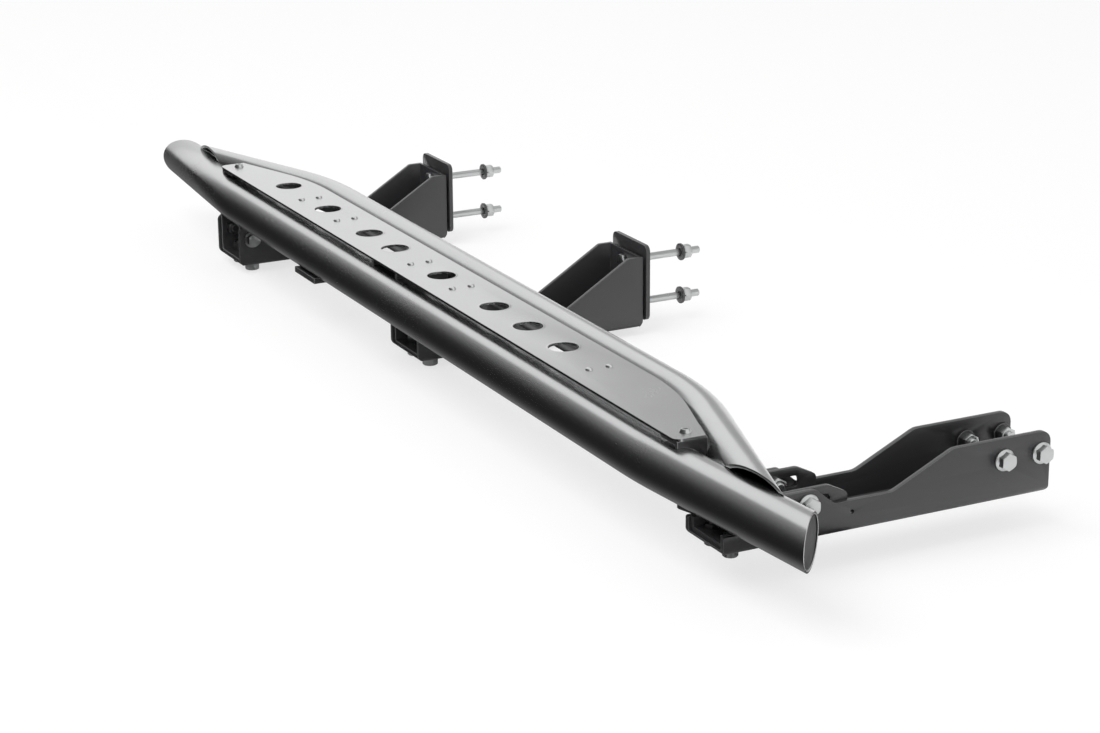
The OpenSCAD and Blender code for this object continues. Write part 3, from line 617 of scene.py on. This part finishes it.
class STEPBAR_OT_tread_plate(Operator):
    """Builds the tread plate with pressed drain holes and bumps"""

    bl_idname = "stepbar.tread_plate"
    bl_label = "Tread plate"

    def execute(self, context):
        s = sizes()
        top = tread_origin()
        bm = bmesh.new()
        outline = [bm.verts.new(top + p) for p in self.outline(s)]
        edges = [bm.edges.new((a, b)) for a, b in zip(outline, outline[1:] + outline[:1])]
        upper = list(edges)
        for x in DRAIN_X:
            place = top + Vector((x, 0, 0))
            upper += self.pressing(bm, place, self.rim(s), DRAIN_SIDES)
        for x in BUMP_X:
            for side in (-1, 1):
                place = top + Vector((x, side * BUMP_Y, 0))
                upper += self.pressing(bm, place, self.dome(s), SMALL_SIDES)
        for side in (-1, 1):
            place = top + Vector((side * SCREW_X, SCREW_Y, 0))
            upper += self.pressing(bm, place, self.screw_hole(s), SMALL_SIDES)
        bmesh.ops.triangle_fill(bm, use_beauty=True, edges=upper, normal=(0, 0, 1))
        low_verts = new_verts(bmesh.ops.extrude_edge_only(bm, edges=edges)["geom"])
        bmesh.ops.translate(bm, verts=low_verts, vec=(0, 0, -s.tread_thickness))
        under = top.z - s.tread_thickness
        lower = [e for e in bm.edges if len(e.link_faces) == 1
                 and all(abs(v.co.z - under) < TOUCH for v in e.verts)]
        bmesh.ops.triangle_fill(bm, use_beauty=True, edges=lower, normal=(0, 0, -1))
        bmesh.ops.recalc_face_normals(bm, faces=bm.faces)
        add_piece(bm, "tread_plate_sheet", "satin_steel", "tread_plate", satin_steel(),
                  smooth=30)
        return {"FINISHED"}

    def outline(self, s):
        """The plate's plan, from the middle of its line of holes."""
        low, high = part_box("tread_plate")
        half = (high.x - low.x) / 2
        corner, steps = s.tread_corner, 10
        right = []
        for i in range(steps + 1):
            t = math.radians(-90 + 90 * i / steps)
            right.append(Vector((half - corner + corner * math.cos(t),
                                 -s.tread_front + corner + corner * math.sin(t), 0)))
        inner = s.rear_bend_radius - s.rear_diameter / 2 - s.tread_gap
        straight = bend_start(s.rear_bend_x, s.rear_bend_radius, s.rear_bend_angle)
        centre = Vector((straight, s.rear_axis - s.rear_bend_radius, 0))
        last = centre + inner * Vector((math.sin(s.rear_bend_angle),
                                        math.cos(s.rear_bend_angle), 0))
        fall = (half - last.x) * math.tan(s.rear_bend_angle)
        right.append(Vector((half, last.y - fall, 0)))
        for i in range(steps, -1, -1):
            t = s.rear_bend_angle * i / steps
            right.append(centre + inner * Vector((math.sin(t), math.cos(t), 0)))
        return right + [Vector((-p.x, p.y, 0)) for p in reversed(right)]

    def rim(self, s):
        """Half section of a drain hole, from the flat of the plate to its underside."""
        hole = s.drain_diameter / 2
        blend, nose, steps = 2.6 * MM, 0.5 * MM, 6
        points = [(hole + nose + blend * (1 - i / steps),
                   s.rim_height * smoothstep(i / steps)) for i in range(steps)]
        for i in range(steps + 1):
            turn = math.radians(90 * i / steps)
            points.append((hole + nose * (1 - math.sin(turn)),
                           s.rim_height - nose * (1 - math.cos(turn))))
        return points + [(hole, -s.tread_thickness)]

    def dome(self, s):
        """Half section of a pressed bump, from the flat of the plate to its top."""
        steps, fullness = 10, 2.4
        return [(s.bump_diameter / 2 * (1 - i / steps),
                 s.bump_height * math.sqrt(1 - (1 - i / steps) ** fullness))
                for i in range(steps + 1)]

    def screw_hole(self, s):
        """Half section of a plain hole, from the plate's upper face to its underside."""
        hole = s.screw_hole / 2
        return [(hole, 0), (hole, -s.tread_thickness)]

    def pressing(self, bm, place, section, sides):
        """Spins a half section about a place and returns its outer edges."""
        verts = [bm.verts.new(place + Vector((r, 0, z))) for r, z in section]
        line = [bm.edges.new(pair) for pair in zip(verts, verts[1:])]
        bmesh.ops.spin(bm, geom=verts + line, cent=place, axis=(0, 0, 1),
                       angle=math.tau, steps=sides, use_merge=True)
        if section[-1][0] == 0:
            pole = [v for v in bm.verts if (v.co - place).to_2d().length < TOUCH]
            bmesh.ops.remove_doubles(bm, verts=pole, dist=TOUCH)
        reach = section[0][0]
        return [e for e in bm.edges
                if all(abs((v.co - place).to_2d().length - reach) < TOUCH
                       and abs(v.co.z - place.z) < TOUCH for v in e.verts)]


class STEPBAR_OT_brackets(Operator):
    """Rounds the edges of the arms, hangers, tabs and backing plates"""

    bl_idname = "stepbar.brackets"
    bl_label = "Arms and brackets"

    def execute(self, context):
        for node in BLACK_NODES:
            # The rounded edges get the painted edge highlight, a lighter grey that stands
            # in for the light they catch
            add_piece(rounded_copy(node, sizes().edge), node + "_sheet", "black_coat",
                      node, powder_coat(), painted_edge_highlight())
        for node in WASHER_NODES:
            add_piece(rounded_copy(node, WASHER_EDGE), node + "_ring", "black_coat",
                      node, powder_coat(), painted_edge_highlight())
        return {"FINISHED"}


class STEPBAR_OT_end_caps(Operator):
    """Rounds and finishes the caps in the ends of the front tube"""

    bl_idname = "stepbar.end_caps"
    bl_label = "End caps"

    def execute(self, context):
        for node in CAP_NODES:
            add_piece(rounded_copy(node, CAP_EDGE), node + "_plug", "black_plastic",
                      node, moulded_plastic(), moulded_plastic())
        return {"FINISHED"}


class STEPBAR_OT_fasteners(Operator):
    """Rounds and plates the bolts, screws, nuts and spring washers"""

    bl_idname = "stepbar.fasteners"
    bl_label = "Fasteners"

    def execute(self, context):
        others = STEEL_NODES + BLACK_NODES + WASHER_NODES + CAP_NODES
        for node in sorted(set(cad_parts) - set(others)):
            add_piece(rounded_copy(node, FASTENER_EDGE), node + "_plated", "zinc",
                      node, zinc_plate(), zinc_plate())
        return {"FINISHED"}


class STEPBAR_OT_stage(Operator):
    """Sets the floor, the light and the camera"""

    bl_idname = "stepbar.stage"
    bl_label = "Stage"

    def execute(self, context):
        stage = context.scene.step_bar_stage
        self.floor(stage)
        self.cards()
        self.sky(stage)
        self.key_light(stage)
        self.camera(stage)
        context.scene.view_settings.view_transform = "Standard"
        return {"FINISHED"}

    def floor(self, stage):
        """A pale floor that the camera sees as nearly white, with a light shadow."""
        bm = bmesh.new()
        bmesh.ops.create_grid(bm, x_segments=1, y_segments=1, size=stage.floor_size / 2)
        bmesh.ops.translate(bm, verts=bm.verts, vec=(0, 0, CAD_LOW.z - FLOOR_GAP))
        material = bpy.data.materials.new("pale_floor")
        material.use_nodes = True
        nodes, links = material.node_tree.nodes, material.node_tree.links
        shader = nodes["Principled BSDF"]
        shader.inputs["Base Color"].default_value = (0.97, 0.97, 0.97, 1)
        shader.inputs["Roughness"].default_value = 0.9
        shader.inputs["Specular IOR Level"].default_value = 0.1
        white = nodes.new("ShaderNodeEmission")
        path = nodes.new("ShaderNodeLightPath")
        share = nodes.new("ShaderNodeMath")
        share.operation = "MULTIPLY"
        share.inputs[1].default_value = stage.floor_white
        mix = nodes.new("ShaderNodeMixShader")
        links.new(path.outputs["Is Camera Ray"], share.inputs[0])
        links.new(share.outputs[0], mix.inputs["Fac"])
        links.new(shader.outputs[0], mix.inputs[1])
        links.new(white.outputs[0], mix.inputs[2])
        links.new(mix.outputs[0], nodes["Material Output"].inputs["Surface"])
        mesh_object(bm, "floor", material)

    def cards(self):
        """The cards on the floor, in front of the step and behind it."""
        z = CAD_LOW.z
        axis = tread_origin().y - sizes().front_axis
        greys = [(axis + y, grey) for y, grey in FLOOR_GREYS]
        self.card("floor_card", "Y", greys, (FLOOR_CARD_X[0], greys[0][0], z),
                  (FLOOR_CARD_X[1], greys[-1][0], z + FLOOR_GAP))
        greys = [(z + TUBE_HEIGHT + height, grey) for height, grey in FRONT_GREYS]
        self.card("front_card", "Z", greys,
                  (FRONT_CARD_X[0], FRONT_CARD_Y - CARD_THICKNESS, z),
                  (FRONT_CARD_X[1], FRONT_CARD_Y, z + FRONT_CARD_HEIGHT))
        self.card("back_card", "X", BACK_GREYS,
                  (BACK_CARD_X[0], BACK_CARD_Y, z + BACK_CARD_LOW),
                  (BACK_CARD_X[1], BACK_CARD_Y + CARD_THICKNESS, z + BACK_CARD_HIGH))

    def card(self, name, axis, greys, low, high):
        """A card between two corners that only reflections see.

        Its greys are pairs of a place on the axis and a brightness.
        """
        bm = bmesh.new()
        bmesh.ops.create_cube(bm, size=1)
        size = Vector(high) - Vector(low)
        bmesh.ops.scale(bm, verts=bm.verts, vec=size)
        bmesh.ops.translate(bm, verts=bm.verts, vec=Vector(low) + size / 2)
        material = bpy.data.materials.new(name)
        material.use_nodes = True
        nodes, links = material.node_tree.nodes, material.node_tree.links
        place = nodes.new("ShaderNodeTexCoord")
        parts = nodes.new("ShaderNodeSeparateXYZ")
        start, end = greys[0][0], greys[-1][0]
        share = nodes.new("ShaderNodeMapRange")
        share.inputs["From Min"].default_value = start
        share.inputs["From Max"].default_value = end
        ramp = nodes.new("ShaderNodeValToRGB")
        points = ramp.color_ramp.elements
        for between, _ in greys[1:-1]:
            points.new((between - start) / (end - start))
        for point, (_, grey) in zip(points, greys):
            point.color = (grey, grey, grey, 1)
        glow = nodes.new("ShaderNodeEmission")
        links.new(place.outputs["Object"], parts.inputs[0])
        links.new(parts.outputs[axis], share.inputs["Value"])
        links.new(share.outputs[0], ramp.inputs["Fac"])
        links.new(ramp.outputs["Color"], glow.inputs["Color"])
        links.new(glow.outputs[0], nodes["Material Output"].inputs["Surface"])
        card = mesh_object(bm, name, material)
        card.visible_camera = False
        card.visible_diffuse = False
        card.visible_shadow = False
        card.visible_transmission = False

    def sky(self, stage):
        """Even light, seen as white by the camera and in reflections."""
        world = bpy.data.worlds.new("studio")
        bpy.context.scene.world = world
        world.use_nodes = True
        world.cycles.sampling_method = "NONE"
        nodes, links = world.node_tree.nodes, world.node_tree.links
        light = nodes["Background"]
        light.inputs["Color"].default_value = (1, 1, 1, 1)
        light.inputs["Strength"].default_value = stage.sky
        seen = nodes.new("ShaderNodeBackground")
        seen.inputs["Color"].default_value = (1, 1, 1, 1)
        seen.inputs["Strength"].default_value = 1.0
        path = nodes.new("ShaderNodeLightPath")
        camera_or_gloss = nodes.new("ShaderNodeMath")
        camera_or_gloss.operation = "MAXIMUM"
        any_seen = nodes.new("ShaderNodeMath")
        any_seen.operation = "MAXIMUM"
        mix = nodes.new("ShaderNodeMixShader")
        links.new(path.outputs["Is Camera Ray"], camera_or_gloss.inputs[0])
        links.new(path.outputs["Is Glossy Ray"], camera_or_gloss.inputs[1])
        links.new(camera_or_gloss.outputs[0], any_seen.inputs[0])
        links.new(path.outputs["Is Transmission Ray"], any_seen.inputs[1])
        links.new(any_seen.outputs[0], mix.inputs["Fac"])
        links.new(light.outputs[0], mix.inputs[1])
        links.new(seen.outputs[0], mix.inputs[2])
        links.new(mix.outputs[0], nodes["World Output"].inputs["Surface"])

    def key_light(self, stage):
        """A large soft lamp in front of the step, which the steel doesn't mirror."""
        key = bpy.data.lights.new("key_light", "AREA")
        key.shape = "RECTANGLE"
        key.size, key.size_y = 4.0, 3.0
        key.energy = stage.key_power
        lamp = bpy.data.objects.new("key_light", key)
        bpy.context.scene.collection.objects.link(lamp)
        place = Vector(stage.key_place)
        lamp.location = place
        lamp.rotation_euler = (-place).to_track_quat("-Z", "Y").to_euler()
        lamp.visible_glossy = False

    def camera(self, stage):
        """The camera at the photograph's angle, placed from the tread plate."""
        data = bpy.data.cameras.new("camera")
        data.sensor_fit = "HORIZONTAL"
        data.sensor_width = SENSOR
        data.lens = stage.lens
        data.clip_start, data.clip_end = 0.05, 100
        camera = bpy.data.objects.new("camera", data)
        bpy.context.scene.collection.objects.link(camera)
        a, e = stage.azimuth, stage.elevation
        ahead = Vector((-math.sin(a), math.cos(a), 0))
        look = math.cos(e) * ahead - math.sin(e) * Vector((0, 0, 1))
        right = Vector((math.cos(a), math.sin(a), 0))
        up = right.cross(look)
        rolled_right = math.cos(stage.roll) * right + math.sin(stage.roll) * up
        rolled_up = math.cos(stage.roll) * up - math.sin(stage.roll) * right
        turn = Matrix((rolled_right, rolled_up, -look)).transposed()
        camera.matrix_world = (Matrix.Translation(tread_origin() + Vector(stage.place))
                               @ turn.to_4x4())
        bpy.context.scene.camera = camera


class STEPBAR_PT_panel(Panel):
    """Sizes, colours and steps of the side step bar"""

    bl_label = "Step bar"
    bl_idname = "STEPBAR_PT_panel"
    bl_space_type = "VIEW_3D"
    bl_region_type = "UI"
    bl_category = "Step bar"

    def draw(self, context):
        layout = self.layout
        for operator in OPERATORS:
            layout.operator(operator.bl_idname)
        for group in (context.scene.step_bar_sizes, context.scene.step_bar_finish,
                      context.scene.step_bar_stage):
            box = layout.box()
            for name in group.bl_rna.properties.keys():
                if name not in ("rna_type", "name"):
                    box.prop(group, name)


OPERATORS = (
    STEPBAR_OT_front_tube,
    STEPBAR_OT_rear_tube,
    STEPBAR_OT_tread_plate,
    STEPBAR_OT_brackets,
    STEPBAR_OT_end_caps,
    STEPBAR_OT_fasteners,
    STEPBAR_OT_stage,
)
GROUPS = (StepBarSizes, StepBarFinish, StepBarStage)


def register():
    for cls in GROUPS + OPERATORS + (STEPBAR_PT_panel,):
        bpy.utils.register_class(cls)
    bpy.types.Scene.step_bar_sizes = PointerProperty(type=StepBarSizes)
    bpy.types.Scene.step_bar_finish = PointerProperty(type=StepBarFinish)
    bpy.types.Scene.step_bar_stage = PointerProperty(type=StepBarStage)


def unregister():
    del bpy.types.Scene.step_bar_sizes
    del bpy.types.Scene.step_bar_finish
    del bpy.types.Scene.step_bar_stage
    for cls in reversed(GROUPS + OPERATORS + (STEPBAR_PT_panel,)):
        bpy.utils.unregister_class(cls)


def main():
    register()
    bpy.ops.stepbar.front_tube()
    bpy.ops.stepbar.rear_tube()
    bpy.ops.stepbar.tread_plate()
    bpy.ops.stepbar.brackets()
    bpy.ops.stepbar.end_caps()
    bpy.ops.stepbar.fasteners()
    bpy.ops.stepbar.stage()


if __name__ == "__main__":
    main()
